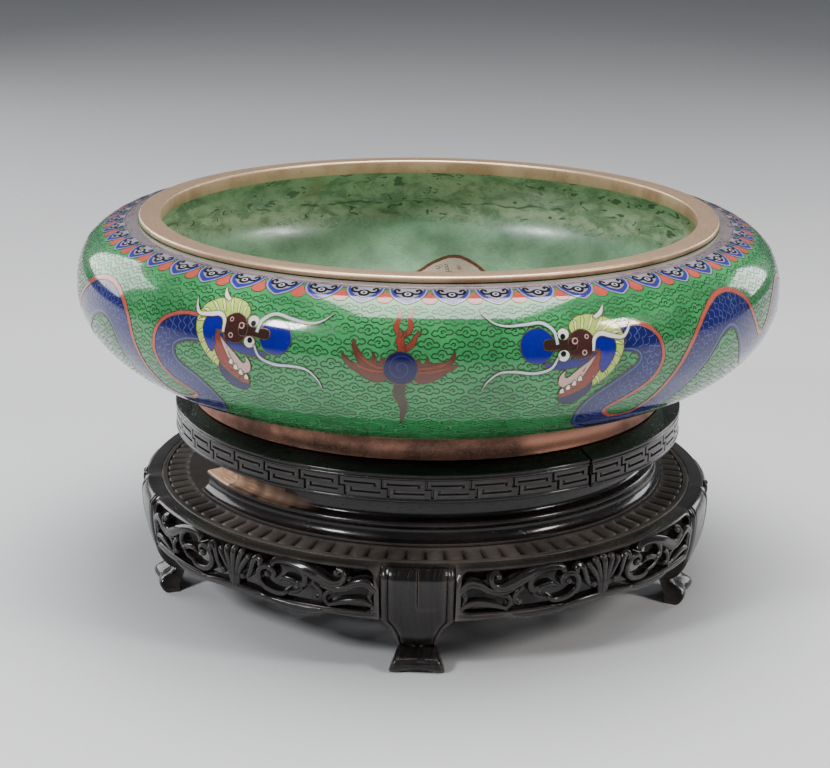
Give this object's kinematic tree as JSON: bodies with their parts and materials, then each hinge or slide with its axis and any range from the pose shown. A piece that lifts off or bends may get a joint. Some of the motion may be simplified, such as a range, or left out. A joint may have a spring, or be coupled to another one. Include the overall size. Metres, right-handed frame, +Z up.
{
  "type": "cloisonne bowl on a carved stand",
  "caption": "Wide, low enamelled copper bowl with an incurved mouth, resting on a round pierced hardwood stand with out-turned feet.",
  "frame": {"origin": "on the floor under the bowl's centre", "axes": "+Z up through the bowl's mouth, -Y towards the viewer and the front leg"},
  "size_m": [0.3, 0.3, 0.162],
  "materials": {
    "green_enamel": "polished cloisonne enamel, green cloud ground with inlaid figures",
    "gilt_brass": "worn satin gilt brass",
    "bare_copper": "satin bare copper",
    "dark_hardwood": "near-black polished hardwood, worn at the edges"
  },
  "bodies": {
    "root": {"bowl_body": "green_enamel", "mouth_rim": "gilt_brass", "foot_ring": "bare_copper", "cove_moulding": "dark_hardwood", "deck": "dark_hardwood", "gallery_arc_1": "dark_hardwood", "gallery_arc_2": "dark_hardwood", "gallery_arc_3": "dark_hardwood", "gallery_arc_4": "dark_hardwood", "gallery_arc_5": "dark_hardwood", "apron_1": "dark_hardwood", "apron_2": "dark_hardwood", "apron_3": "dark_hardwood", "apron_4": "dark_hardwood", "apron_5": "dark_hardwood", "leg_1": "dark_hardwood", "leg_2": "dark_hardwood", "leg_3": "dark_hardwood", "leg_4": "dark_hardwood", "leg_5": "dark_hardwood"}
  },
  "joints": []
}
